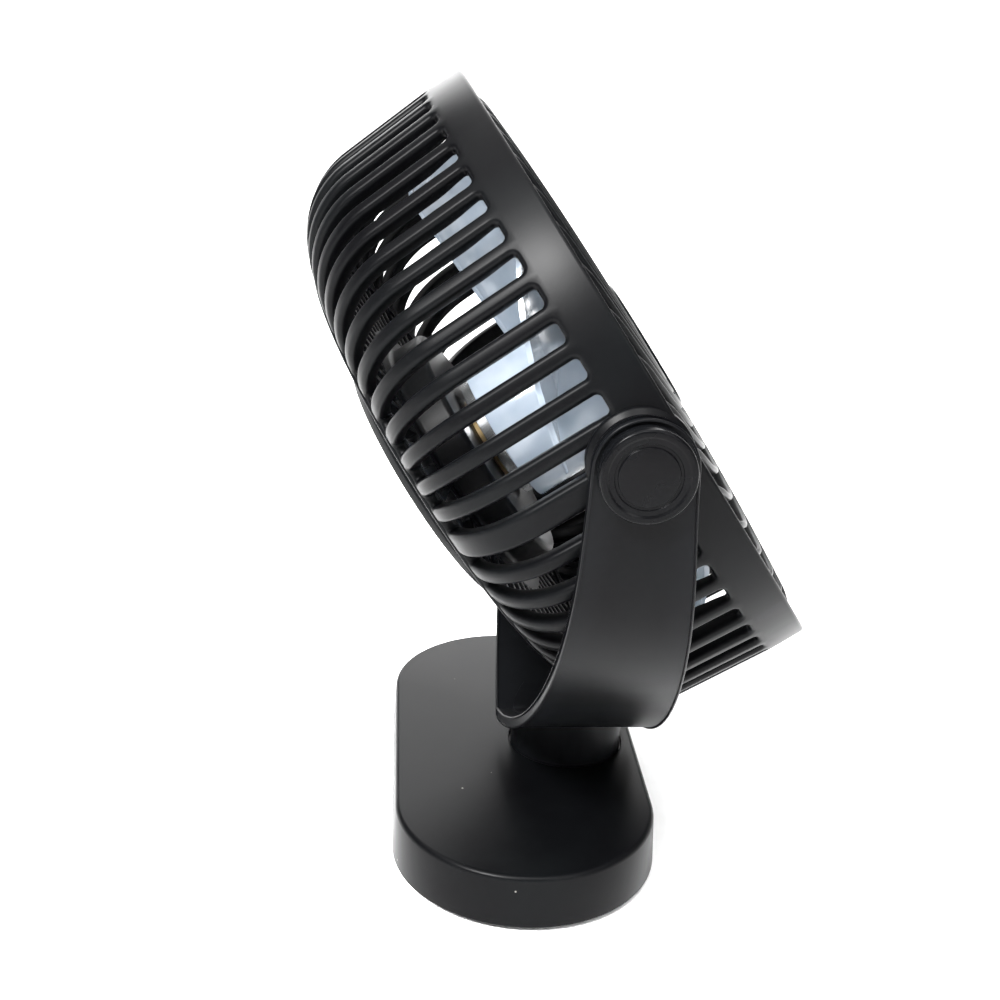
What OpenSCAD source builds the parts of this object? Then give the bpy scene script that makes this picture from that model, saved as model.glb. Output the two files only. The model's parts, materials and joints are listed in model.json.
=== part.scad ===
// Desk fan: a round head in a U-shaped yoke that tilts, on a stem that swivels in a weighted base.
// Millimetres, +Z up. The origin is the middle of the base's underside. At rest the fan blows
// towards -Y and upwards. Head parts are drawn about the fan's own axis and placed by on_head().

/* [Head] */
// Outside radius of the head's front band
head_r = 75; // [75:1:76]
// Depth of the smooth band behind the front rim
band_depth = 9.5; // [9:0.5:10]
// Depth from the front rim to the flat of the rear guard
head_depth = 51; // [51:0.5:52]
// Radius of the rear guard's rounded shoulder
shoulder_r = 21; // [19:1:22]
// Draft of the rear guard's side, in degrees
side_draft = 3.4; // [2:0.2:4]
// Thickness of the band and the guard's ribs
guard_t = 2.4; // [2.2:0.1:2.6]
// Width of one rear rib
rib_w = 3.4; // [3:0.1:3.8]
// Gaps in the rear guard from a pivot up to the top
slots_above = 15; // [13:1:15]
// Gaps in the rear guard from a pivot down to the bottom
slots_below = 15; // [13:1:15]
// Radius at which the long gaps end on the guard's back
slot_end_r = 57.5; // [56:0.5:59]
// Number of fine gaps round the motor mount
fine_slots = 48; // [36:4:60]

/* [Front guard] */
// Number of curved front ribs
front_ribs = 42; // [36:1:44]
// Width of a front rib
front_rib_w = 1.5; // [1.3:0.1:1.8]
// Height of the front guard's dome above the rim
dome_h = 3; // [2:0.5:4]
// Radius of the front guard's middle disc
front_disc_r = 19; // [18:0.5:21]

/* [Impeller] */
// Number of blades
blades = 5; // [3:1:7]
// Radius of the blade tips
tip_r = 63; // [58:1:65]
// Outside radius of the hub
hub_r = 17.5; // [17.5:0.1:18]
// Slope of the blades against the plane they turn in, in degrees
blade_pitch = 27; // [20:1:32]

/* [Tilt] */
// Angle of the fan's axis above level at rest, in degrees
head_tilt = 34.5; // [0:0.5:60]
// Height of the tilt axis
pivot_z = 114.3; // [114:0.5:118]
// Height of the tilt axis above the middle of the head
pivot_rise = 4; // [2:0.5:5]
// Distance of the tilt axis behind the front rim
pivot_back = 9.6; // [9:0.2:10]

/* [Yoke] */
// Half of the yoke's width, to the outside of an arm
yoke_x = 80.4; // [80:0.2:82]
// Thickness of the yoke
yoke_t = 2.8; // [2.6:0.1:3]
// Height of the yoke's underside
yoke_z = 19.4; // [19:0.1:20]
// Height at which the arms begin to curve inwards
arm_z = 96; // [95:0.5:98]
// Half of an arm's width at the pivot
arm_top = 10; // [9.5:0.5:11]
// Half of the yoke's width front to back at its foot
arm_foot = 18.2; // [17:0.2:19]

/* [Base] */
// Length of the base, side to side
base_l = 123; // [120:1:140]
// Width of the base, front to back
base_w = 63; // [62:1:66]
// Height of the base's top
base_h = 13.6; // [13.6:0.1:14]
// Distance of the stem in front of the base's middle
stem_fwd = 13; // [12:0.5:14]
// Radius of the stem
stem_r = 14.1; // [13.5:0.1:14.3]

/* [Hidden] */
$fn = 96;

colour_abs = "#1c1c1e";
colour_blade = "#b9bcbe";
colour_steel = "#a9abad";
colour_brass = "#b08d57";
colour_rubber = "#2a2a2a";
colour_board = "#1f5a3a";
colour_copper = "#b5651d";

// Base
wall = 2.2;
lift = 0.8;
plate_t = 1.6;
base_top_t = 2.4;
base_cavity_z = base_h - base_top_t;
bush_r = 13.9;
bush_bottom = 5.3;
spigot_r = 12;
spigot_bottom = 5.2;
run = 0.05;
recess_z = base_h - 1.2;
boss_x = 44;
boss_y = 20;

// Head
pivot_angle = asin(pivot_rise / head_r);
pivot_gap = 4;
shoulder_z = -head_depth + shoulder_r;
shoulder_steps = 6;
draft_z = shoulder_z - shoulder_r * sin(side_draft);
crease_z = 0.7 - band_depth;
draft_r = head_r - (crease_z - draft_z) * tan(side_draft);
shoulder_c = draft_r - shoulder_r * cos(side_draft);
pad_x = 76.6;
pad_root = head_r - guard_t;
pad_r = 9.2;
pin_r = 4;
arm_in = yoke_x - yoke_t;
cup_r = 30;
cup_wall = 2;
cup_front = -40;
face_t = 3;
cover_r = 33.5;
cover_back = -57.4;
cover_crown = -58.4;
ring_t = 2.6;
ring_top = -2.2;
switch_y = -18;
switch_travel = 4;
usb_y = -24.6;
screw_ring = 26.4;
board_z = -47;
board_t = 1.4;

// Motor
shaft_r = 1.5;
tube_r = 4;
can_r = 15.2;
can_back = -38.6;
stator_back = -34;
stator_front = -27;
poles = 9;

module on_head() {
    translate([0, -stem_fwd, pivot_z])
        rotate([90 - head_tilt, 0, 0])
            translate([0, -pivot_rise, pivot_back])
                children();
}

// A tube or disc along the fan's axis from z = low to z = high
module disc(r, low, high) {
    translate([0, 0, low]) cylinder(r = r, h = high - low);
}

module tube(r_out, r_in, low, high) {
    difference() {
        disc(r_out, low, high);
        disc(r_in, low - 1, high + 1);
    }
}

// A rod along X from x = low to x = high
module rod_x(r, low, high) {
    translate([low, 0, 0]) rotate([0, 90, 0]) cylinder(r = r, h = high - low);
}

// Copies at the two pivots, with +X pointing outwards
module both_pivots() {
    children();
    mirror([1, 0, 0]) children();
}

module at_pivot() {
    translate([0, pivot_rise, -pivot_back]) children();
}

// Copies round the fan's axis
module around(count, start = 0) {
    for (i = [0 : count - 1]) rotate([0, 0, start + i * 360 / count]) children();
}

// ---- Base ----

// The base's outline, a rectangle with half-round ends, drawn in by inset
module base_outline(inset) {
    r = base_w / 2 - inset;
    half = base_l / 2 - base_w / 2;
    translate([-half, 0]) circle(r);
    translate([half, 0]) circle(r);
    square([2 * half, 2 * r], center = true);
}

module base_block(inset, low, high) {
    translate([0, 0, low]) linear_extrude(high - low) base_outline(inset);
}

module at_stem() {
    translate([0, -stem_fwd, 0]) children();
}

module at_base_screws() {
    for (x = [-boss_x, boss_x], y = [-boss_y, boss_y]) translate([x, y, 0]) children();
}

module base_shell() {
    color(colour_abs) difference() {
        union() {
            difference() {
                base_block(0, lift, base_h);
                base_block(wall, lift - 1, base_cavity_z);
            }
            at_stem() disc(bush_r + 2.4, bush_bottom, base_cavity_z + 1);
            at_base_screws() disc(3, lift + plate_t, base_cavity_z + 1);
        }
        at_stem() disc(bush_r, 0, recess_z);
        at_stem() disc(stem_r + 0.4, recess_z - 1, base_h + 1);
        at_base_screws() disc(1.3, 0, 9);
    }
}

module base_plate() {
    color(colour_abs) difference() {
        base_block(wall + 0.1, lift, lift + plate_t);
        at_base_screws() disc(2.6, lift - 1, lift + 0.9);
        at_base_screws() disc(1.4, 0, 5);
    }
}

module ballast_weight() {
    color(colour_steel) difference() {
        base_block(wall + 2, lift + plate_t, 9.4);
        at_stem() disc(bush_r + 2.8, 0, 12);
        at_base_screws() disc(3.6, 0, 12);
    }
}

module base_pad() {
    color(colour_rubber) base_block(wall + 1.5, 0, lift);
}

module base_screws() {
    color(colour_steel) at_base_screws() {
        disc(2.4, lift, lift + 0.9);
        disc(1.3, lift, 8.4);
    }
}

module swivel_bush() {
    color("#e6e4dc") at_stem() tube(bush_r, spigot_r + run, bush_bottom, recess_z);
}

// ---- Yoke ----

// Shape of the bend: both would be 1 for an ellipse
bend_in = 1.69;
bend_down = 1.06;
bend_steps = 24;

// The yoke's outer line from the top of the arm (turn 0) down to the foot (turn 90)
function yoke_point(turn) =
    [yoke_x * pow(cos(turn), bend_in), arm_z - (arm_z - yoke_z) * pow(sin(turn), bend_down)];
turns = [for (i = [0 : bend_steps]) i * 90 / bend_steps];
// Unit normal of the line, pointing into the U
function yoke_normal(turn) =
    let (a = yoke_point(max(turn - 1, 0)), b = yoke_point(min(turn + 1, 90)), d = (b - a) / norm(b - a))
    [d[1], -d[0]];
yoke_line_out = [for (t = turns) yoke_point(t)];
function inner_point(turn) =
    let (p = yoke_point(turn) + yoke_t * yoke_normal(turn))
    [max(p[0], 0), p[1]];
yoke_line_in = [for (t = turns) inner_point(t)];
arm_top_z = pivot_z + arm_top;

// The space inside the U above one of its lines, on the +X side
module yoke_inside(line) {
    polygon(concat([[0, arm_top_z + 1], [line[0][0], arm_top_z + 1]], line, [[0, line[bend_steps][1]]]));
}

module yoke_both(line) {
    yoke_inside(line);
    mirror([1, 0]) yoke_inside(line);
}

module along_y(depth) {
    translate([0, depth / 2, 0]) rotate([90, 0, 0]) linear_extrude(depth) children();
}

// The yoke seen from the side: a round top at the pivot, widening to the foot
flare = 1.35;
side_steps = 12;
function side_half(z) = arm_top + (arm_foot - arm_top) * pow((pivot_z - z) / (pivot_z - yoke_z), flare);
side_zs = [for (i = [0 : side_steps]) pivot_z - i * (pivot_z - yoke_z) / side_steps];
module yoke_side() {
    half = concat([[0, pivot_z]], [for (z = side_zs) [side_half(z), z]], [[0, yoke_z]]);
    polygon(half);
    mirror([1, 0]) polygon(half);
    translate([0, pivot_z]) circle(arm_top);
}

module yoke() {
    color(colour_abs) at_stem() difference() {
        union() {
            intersection() {
                difference() {
                    along_y(50) yoke_both(yoke_line_out);
                    along_y(60) yoke_both(yoke_line_in);
                }
                translate([-yoke_x - 1, 0, 0]) rotate([90, 0, 90])
                    linear_extrude(2 * yoke_x + 2) yoke_side();
            }
            difference() {
                disc(stem_r, recess_z + 0.1, yoke_z + 12);
                along_y(60) yoke_both(yoke_line_in);
            }
            disc(spigot_r, spigot_bottom, recess_z + 1);
        }
        translate([0, 0, pivot_z]) rod_x(pin_r + run, -yoke_x - 2, yoke_x + 2);
        disc(1.9, 0, 14.5);
    }
}

module swivel_washer() {
    color(colour_steel) at_stem() tube(bush_r + 1.4, 1.95, spigot_bottom - 1, spigot_bottom);
}

module swivel_screw() {
    color(colour_steel) at_stem() {
        disc(3.6, 2.6, spigot_bottom - 1);
        disc(1.9, 2.6, 14);
    }
}

module friction_washers() {
    color(colour_rubber) translate([0, -stem_fwd, pivot_z]) both_pivots() difference() {
        rod_x(7.8, pad_x + 0.02, arm_in);
        rod_x(pin_r + run, pad_x - 1, arm_in + 1);
    }
}

cap_r = 9;
cap_out = yoke_x + 3.4;
module pivot_cap() {
    difference() {
        union() {
            rod_x(cap_r, yoke_x, cap_out - 0.6);
            rod_x(cap_r - 0.6, yoke_x, cap_out);
        }
        rod_x(7.2, yoke_x - 1, cap_out - 0.7);
        difference() {
            rod_x(6.2, cap_out - 0.35, cap_out + 1);
            rod_x(5.6, cap_out - 1, cap_out + 2);
        }
    }
}

module pivot_cap_left() {
    color(colour_abs) translate([0, -stem_fwd, pivot_z]) mirror([1, 0, 0]) pivot_cap();
}

module pivot_cap_right() {
    color(colour_abs) translate([0, -stem_fwd, pivot_z]) pivot_cap();
}

// ---- Head shells ----

// Section of the rear guard, drawn in by inset on every side
module guard_section(inset, front) {
    c = [shoulder_c, shoulder_z];
    turn = (90 - side_draft) / shoulder_steps;
    shoulder = [for (i = [0 : shoulder_steps])
        c + (shoulder_r - inset) * [cos(side_draft + i * turn), -sin(side_draft + i * turn)]];
    polygon(concat([[0, front], [head_r - inset, front], [head_r - inset, crease_z]], shoulder,
                   [[0, -head_depth + inset]]));
}

// Angle of gap number i, counted from the pivot line to the top or to the bottom
step_above = (90 - pivot_angle - pivot_gap) / (slots_above - 1);
step_below = (90 + pivot_angle - pivot_gap) / (slots_below - 0.5);
slot_angles = concat(
    [for (i = [0 : slots_above - 1]) pivot_angle + pivot_gap + i * step_above],
    [for (i = [0 : slots_below - 1]) pivot_angle - pivot_gap - i * step_below]);

// One long gap of the rear guard: parallel-sided ribs are left between neighbours
module long_slot(step) {
    far = head_r + 3;
    half_far = far * sin(step / 2) - rib_w / 2;
    half_near = slot_end_r * sin(step / 2) - rib_w / 2;
    translate([0, 0, -head_depth - 1]) linear_extrude(head_depth + 1 - band_depth)
        polygon([[slot_end_r, -half_near], [far, -half_far], [far, half_far], [slot_end_r, half_near]]);
}

// One fine gap of the guard's back, between the motor mount and the ends of the long gaps
module fine_slot() {
    near = 36;
    far = 53.5;
    half_near = near * sin(180 / fine_slots) - 0.9;
    half_far = far * sin(180 / fine_slots) - 0.9;
    translate([0, 0, -head_depth - 1]) linear_extrude(face_t + 4)
        polygon([[near, -half_near], [far, -half_far], [far, half_far], [near, half_near]]);
}

module guard_shell() {
    difference() {
        rotate_extrude() guard_section(0, 0);
        rotate_extrude() guard_section(guard_t, 1);
    }
}

module rear_guard() {
    color(colour_abs) on_head() difference() {
        union() {
            difference() {
                union() {
                    guard_shell();
                    disc(56, -head_depth, -head_depth + face_t);
                }
                for (a = slot_angles, side = [0, 1]) mirror([side, 0, 0]) rotate([0, 0, a])
                    long_slot(a > pivot_angle ? step_above : step_below);
                around(fine_slots) fine_slot();
                disc(cup_r - cup_wall, -head_depth - 1, cup_front - cup_wall);
            }
            tube(cup_r, cup_r - cup_wall, -head_depth, cup_front);
            disc(cup_r, cup_front - cup_wall, cup_front);
            around(3, 90) translate([screw_ring, 0, 0]) disc(3.2, -head_depth + 1, cup_front - 1);
            for (x = [-11, 11]) translate([x, 12, 0]) disc(2.5, board_z + board_t, cup_front - 1);
            at_pivot() both_pivots() {
                rod_x(pad_r, pad_root, pad_x);
                rod_x(pin_r, pad_root, yoke_x - 0.2);
            }
        }
        at_pivot() both_pivots() rod_x(2.2, 69, yoke_x + 1);
        disc(tube_r, -head_depth, cup_front + 1);
        around(3, 90) translate([screw_ring, 0, 0]) disc(1.25, -head_depth - 1, -43.5);
        around(3, 30) translate([8.2, 0, 0]) disc(1, -44, cup_front + 1);
        for (x = [-11, 11]) translate([x, 12, 0]) disc(1, board_z, -42.6);
        for (x = [-2, 0, 2]) translate([x, -12.3, 0]) disc(0.7, -44, cup_front + 1);
        translate([0, -head_r + 6, -4]) rotate([90, 0, 0]) cylinder(r = 1.4, h = 10);
        translate([0, -head_r + 1.2, -4]) rotate([90, 0, 0]) cylinder(r = 2.4, h = 4);
    }
}

module pivot_inserts() {
    color(colour_brass) on_head() at_pivot() both_pivots() difference() {
        rod_x(2.2, pad_root, yoke_x - 0.2);
        rod_x(shaft_r, 71, yoke_x + 1);
    }
}

module pivot_washers() {
    color(colour_steel) on_head() at_pivot() both_pivots() difference() {
        rod_x(6.4, yoke_x + 0.05, yoke_x + 0.8);
        rod_x(shaft_r + 0.05, yoke_x - 1, yoke_x + 2);
    }
}

module pivot_screws() {
    color(colour_steel) on_head() at_pivot() both_pivots() {
        rod_x(shaft_r, pad_root, yoke_x + 0.9);
        rod_x(2.8, yoke_x + 0.8, yoke_x + 2.4);
    }
}

// Section of the front guard's dome, from the rim to the middle
module dome_section() {
    polygon([[front_disc_r - 1, dome_h - 2.6], [46, dome_h - 3.3], [66, -2.4], [71, -5], [71, -1.5],
             [66, 0.9], [46, dome_h - 0.7], [front_disc_r - 1, dome_h]]);
}

// One rib in plan: an arc that leaves the middle disc almost squarely and sweeps round to the rim
sweep_c = 42;
sweep_r = 48;
module front_rib() {
    intersection() {
        translate([sweep_c, 0]) difference() {
            circle(sweep_r + front_rib_w / 2);
            circle(sweep_r - front_rib_w / 2);
        }
        difference() {
            circle(head_r - guard_t - 2);
            circle(front_disc_r - 0.5);
        }
        translate([-80, 0]) square([160, 80]);
    }
}

module front_guard() {
    rim_r = head_r - guard_t - 0.1;
    color(colour_abs) on_head() difference() {
        union() {
            intersection() {
                rotate_extrude() dome_section();
                translate([0, 0, -8]) linear_extrude(16) for (i = [0 : front_ribs - 1])
                    rotate(i * 360 / front_ribs) front_rib();
            }
            tube(rim_r, rim_r - ring_t, -7, ring_top);
            disc(front_disc_r, dome_h - 2.6, dome_h);
        }
        translate([0, -head_r + 6, -4]) rotate([90, 0, 0]) cylinder(r = 1.2, h = 10);
    }
}

module front_disc() {
    color(colour_abs) on_head() {
        disc(front_disc_r - 3, dome_h, dome_h + 0.5);
        disc(front_disc_r - 3.5, dome_h, dome_h + 0.8);
    }
}

module guard_screw() {
    color(colour_steel) on_head() translate([0, -head_r + 5, -4]) rotate([90, 0, 0]) {
        cylinder(r = 1.2, h = 4);
        translate([0, 0, 3.8]) cylinder(r = 2.2, h = 0.9);
    }
}

module cover_section(inset) {
    polygon([[0, -head_depth + 1], [cover_r - inset, -head_depth + 1], [cover_r - inset, cover_back + 1.5 + inset],
             [cover_r - 1.5 - inset, cover_back + inset], [20, cover_crown + 0.3 + inset], [0, cover_crown + inset]]);
}

module rear_cover() {
    knob_low = switch_y - 2.1;
    color(colour_abs) on_head() difference() {
        union() {
            difference() {
                rotate_extrude() cover_section(0);
                rotate_extrude() cover_section(2);
                disc(40, -head_depth, 0);
            }
            around(3, 90) translate([screw_ring, 0, 0]) disc(3.8, cover_back + 1, -head_depth);
        }
        around(3, 90) translate([screw_ring, 0, 0]) {
            disc(1.4, -60, -head_depth + 1);
            disc(2.8, -60, -54.6);
        }
        translate([-2.7, knob_low, -62]) cube([5.4, 4.2 + switch_travel, 8]);
        translate([-4.7, usb_y - 1.8, -62]) cube([9.4, 3.6, 8]);
    }
}

module rear_cover_screws() {
    color(colour_steel) on_head() around(3, 90) translate([screw_ring, 0, 0]) {
        disc(2.5, -56.2, -54.6);
        disc(1.25, -55, -43.8);
    }
}

// ---- Electronics ----

module control_board() {
    color(colour_board) on_head() difference() {
        intersection() {
            disc(27.4, board_z, board_z + board_t);
            translate([-15, -28, -60]) cube([30, 44, 20]);
        }
        for (x = [-11, 11]) translate([x, 12, 0]) disc(1.1, -50, -40);
        disc(4.6, -50, -40);
    }
}

module board_parts() {
    color("#3a3a3c") on_head() {
        translate([-9, 3, 0]) disc(3, board_z - 6, board_z);
        translate([6, 1, board_z - 1.6]) cube([6, 6, 1.6]);
        translate([-12, -9, board_z - 2]) cube([5, 5, 2]);
        translate([8, -10, board_z - 1]) cube([3, 2, 1]);
        translate([8, -14, board_z - 1]) cube([3, 2, 1]);
    }
}

module board_screws() {
    color(colour_steel) on_head() for (x = [-11, 11]) translate([x, 12, 0]) {
        disc(2, board_z - 1.2, board_z);
        disc(1, board_z - 1, -43);
    }
}

module usb_socket() {
    color(colour_steel) on_head() difference() {
        translate([-4.5, usb_y - 1.6, -56]) cube([9, 3.2, 9]);
        translate([-4.1, usb_y - 1.2, -57]) cube([8.2, 2.4, 7.5]);
    }
}

module switch_body() {
    color(colour_steel) on_head() translate([-3.6, switch_y - 2.6, board_z - 5.4])
        cube([7.2, switch_travel + 5.2, 5.4]);
}

module switch_knob() {
    color(colour_abs) on_head() difference() {
        translate([-2.4, switch_y - 1.8, -62]) cube([4.8, 3.6, 9.4]);
        translate([-4, switch_y, -62.6]) rotate([0, 90, 0]) cylinder(r = 1.3, h = 8);
    }
}

module motor_leads() {
    color("#8a1f1f") on_head() for (x = [-2, 0, 2]) translate([x, -12.3, 0])
        disc(0.55, board_z + board_t, -37.2);
}

// ---- Motor ----

module bearing_tube() {
    color(colour_brass) on_head() difference() {
        union() {
            disc(tube_r, -44, -25.2);
            disc(11, cup_front, cup_front + 1.2);
        }
        disc(3, -45, -25);
        around(3, 30) translate([8.2, 0, 0]) disc(1.05, -44, -36);
    }
}

module motor_screws() {
    color(colour_steel) on_head() around(3, 30) translate([8.2, 0, 0]) {
        disc(1.9, cup_front + 1.2, cup_front + 2.2);
        disc(1, -42, cup_front + 2);
    }
}

module bearings() {
    color(colour_steel) on_head() {
        tube(3, shaft_r + 0.03, -42.2, -39.7);
        tube(3, shaft_r + 0.03, -27.9, -25.4);
    }
}

module motor_board() {
    color(colour_board) on_head() tube(13, tube_r, -37.2, -36.2);
}

// Copies at the stator's poles, with +X pointing outwards
module at_poles() {
    around(poles) children();
}

module stator_core() {
    color(colour_steel) on_head() difference() {
        union() {
            tube(6.2, tube_r, stator_back, stator_front);
            intersection() {
                disc(12.2, stator_back, stator_front);
                union() {
                    at_poles() translate([5, -0.8, stator_back]) cube([6.4, 1.6, stator_front - stator_back]);
                    at_poles() translate([10.9, -3.3, stator_back]) cube([2, 6.6, stator_front - stator_back]);
                }
            }
        }
        disc(tube_r, stator_back - 1, stator_front + 1);
    }
}

module stator_windings() {
    coil_low = stator_back - 1.4;
    coil_h = stator_front - stator_back + 2.8;
    color(colour_copper) on_head() at_poles() difference() {
        translate([7.1, -1.9, coil_low]) cube([3.5, 3.8, coil_h]);
        translate([6, -0.8, stator_back]) cube([8, 1.6, stator_front - stator_back]);
    }
}

module rotor_can() {
    color(colour_steel) on_head() {
        tube(can_r, can_r - 0.7, can_back, -23.4);
        tube(can_r - 0.6, shaft_r, -24.4, -23.4);
    }
}

module ring_magnet() {
    color("#4b4b4f") on_head() tube(can_r - 0.7, 12.9, stator_back - 1, stator_front);
}

module motor_shaft() {
    color(colour_steel) on_head() disc(shaft_r, -43.2, -12.6);
}

module retaining_clip() {
    color(colour_steel) on_head() tube(2.5, shaft_r, -42.9, -42.4);
}

// ---- Impeller ----

blade_back = -24;
blade_front = -6;
camber_r = 60;

// A blade's outline seen along the axis: a swept sector with a rounded tip
module blade_plan() {
    half = 0.36 * 360 / blades;
    lead = [for (r = [12 : 10.2 : tip_r]) r * [cos(half + 0.12 * (r - 12)), sin(half + 0.12 * (r - 12))]];
    trail = [for (r = [tip_r : -10.2 : 12]) r * [cos(0.25 * (r - 12) - half), sin(0.25 * (r - 12) - half)]];
    intersection() {
        polygon(concat(lead, trail));
        circle(tip_r);
    }
}

module blade() {
    intersection() {
        translate([0, 0, blade_back]) linear_extrude(blade_front - blade_back) blade_plan();
        translate([12, 4, (blade_back + blade_front) / 2]) rotate([-blade_pitch, 0, 0])
            translate([0, 0, camber_r]) rotate([0, 90, 0]) difference() {
                cylinder(r = camber_r + 0.8, h = 60);
                translate([0, 0, -1]) cylinder(r = camber_r - 0.8, h = 62);
            }
        tube(tip_r + 1, hub_r - 1, blade_back, blade_front);
    }
}

module impeller() {
    color(colour_blade) on_head() difference() {
        union() {
            tube(hub_r, can_r, -36, -11);
            disc(hub_r, -12, -10);
            disc(4, -20, -11);
            around(blades) blade();
        }
        disc(shaft_r, -21, -12.6);
    }
}

base_shell();
base_plate();
ballast_weight();
base_pad();
base_screws();
swivel_bush();
yoke();
swivel_washer();
swivel_screw();
friction_washers();
pivot_cap_left();
pivot_cap_right();
rear_guard();
pivot_inserts();
pivot_washers();
pivot_screws();
front_guard();
front_disc();
guard_screw();
rear_cover();
rear_cover_screws();
control_board();
board_parts();
board_screws();
usb_socket();
switch_body();
switch_knob();
motor_leads();
bearing_tube();
motor_screws();
bearings();
motor_board();
stator_core();
stator_windings();
rotor_can();
ring_magnet();
motor_shaft();
retaining_clip();
impeller();
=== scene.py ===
"""Visual model of a small desk fan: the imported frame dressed, and its visible mouldings remade finely.

Lengths in the classes are millimetres. Head pieces are drawn about the fan's own axis, with +Z the way
the fan blows and +Y towards the top of the head. The other pieces are drawn in the frame's own axes.
"""

import json
import logging
import math
from collections.abc import Sequence
from dataclasses import dataclass, field
from enum import Enum
from typing import Any

import bmesh
import bpy
from mathutils import Matrix, Vector


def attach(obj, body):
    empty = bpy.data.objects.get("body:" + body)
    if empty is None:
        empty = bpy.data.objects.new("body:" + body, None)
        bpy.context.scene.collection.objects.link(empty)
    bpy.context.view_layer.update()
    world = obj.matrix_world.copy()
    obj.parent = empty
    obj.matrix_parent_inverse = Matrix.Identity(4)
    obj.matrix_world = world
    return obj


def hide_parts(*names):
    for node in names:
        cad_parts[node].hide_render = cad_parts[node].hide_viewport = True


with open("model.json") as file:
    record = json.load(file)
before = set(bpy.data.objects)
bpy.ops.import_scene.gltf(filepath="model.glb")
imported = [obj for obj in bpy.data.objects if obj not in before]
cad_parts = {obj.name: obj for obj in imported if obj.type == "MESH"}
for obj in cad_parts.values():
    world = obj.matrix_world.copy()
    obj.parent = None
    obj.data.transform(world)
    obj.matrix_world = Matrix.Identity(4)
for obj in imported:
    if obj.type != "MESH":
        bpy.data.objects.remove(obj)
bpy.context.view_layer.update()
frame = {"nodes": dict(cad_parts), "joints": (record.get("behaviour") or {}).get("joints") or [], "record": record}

MM = 0.001
log = logging.getLogger("desk_fan")

Flat = tuple[float, float]
Tree = bpy.types.NodeTree
Node = bpy.types.Node
Socket = bpy.types.NodeSocket

# The tilt axis, as its distance behind the base's middle and its height
PIVOT: Flat = (-13.0, 114.3)


def linear(colour: str) -> tuple[float, float, float, float]:
    """Turns an sRGB hex colour into linear RGBA.

    Args:
        colour: Six hex digits after a hash sign.

    Returns:
        The linear colour, opaque.
    """
    shares = [int(colour[i : i + 2], 16) / 255 for i in (1, 3, 5)]
    red, green, blue = [v / 12.92 if v <= 0.04045 else ((v + 0.055) / 1.055) ** 2.4 for v in shares]
    return (red, green, blue, 1.0)


def per_mm(size: float) -> float:
    """Texture scale, per metre, of a pattern whose features are this many millimetres apart."""
    return 1 / (size * MM)


def turned(angle: float) -> Flat:
    """Unit direction at an angle in degrees."""
    return math.cos(math.radians(angle)), math.sin(math.radians(angle))


def mixed(start: float, end: float, share: float) -> float:
    """The value a share of the way from start to end."""
    return start + (end - start) * share


# ---- Materials ----


def add_node(
    tree: Tree,
    kind: str,
    inputs: dict[str | int, Any] | None = None,
    **settings: Any,
) -> Node:
    """Adds a node with its settings, its inputs' values and its links.

    Args:
        tree: The material's node tree.
        kind: The node's type name, without "ShaderNode".
        inputs: Input name or number, with the socket that feeds it or the value it holds.
        settings: The node's own settings.

    Returns:
        The new node.
    """
    node = tree.nodes.new("ShaderNode" + kind)
    for name, value in settings.items():
        setattr(node, name, value)
    for name, value in (inputs or {}).items():
        if isinstance(value, Socket):
            tree.links.new(value, node.inputs[name])
        else:
            node.inputs[name].default_value = value
    return node


def add_ramp(
    tree: Tree,
    source: Socket,
    stops: Sequence[tuple[float, str]],
) -> Socket:
    """Adds a colour ramp whose stops join in straight lines.

    Args:
        tree: The material's node tree.
        source: The value that runs along the ramp.
        stops: Places from 0 to 1, each with its sRGB hex colour.

    Returns:
        The ramp's colour output.
    """
    ramp = add_node(tree, "ValToRGB", {"Fac": source})
    elements = ramp.color_ramp.elements
    while len(elements) < len(stops):
        elements.new(0.5)
    for element, (place, colour) in zip(elements, stops):
        element.position = place
        element.color = linear(colour)
    return ramp.outputs["Color"]


def noise(
    tree: Tree, place: Socket, size: float, detail: float
) -> Node:
    """Adds a noise texture.

    Args:
        tree: The material's node tree.
        place: Object coordinates in metres.
        size: Size of its largest features in millimetres.
        detail: How many finer layers it has.

    Returns:
        The noise node.
    """
    return add_node(tree, "TexNoise", {"Vector": place, "Scale": per_mm(size), "Detail": detail})


def blend(
    tree: Tree, share: Socket, under: Socket, over: str
) -> Socket:
    """Lays a plain colour over another by a share.

    Args:
        tree: The material's node tree.
        share: How much of the plain colour shows.
        under: The colour under it.
        over: The plain colour as sRGB hex.

    Returns:
        The blended colour.
    """
    colours = {"Factor": share, 6: under, 7: linear(over)}
    return add_node(tree, "Mix", colours, data_type="RGBA").outputs[2]


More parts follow.
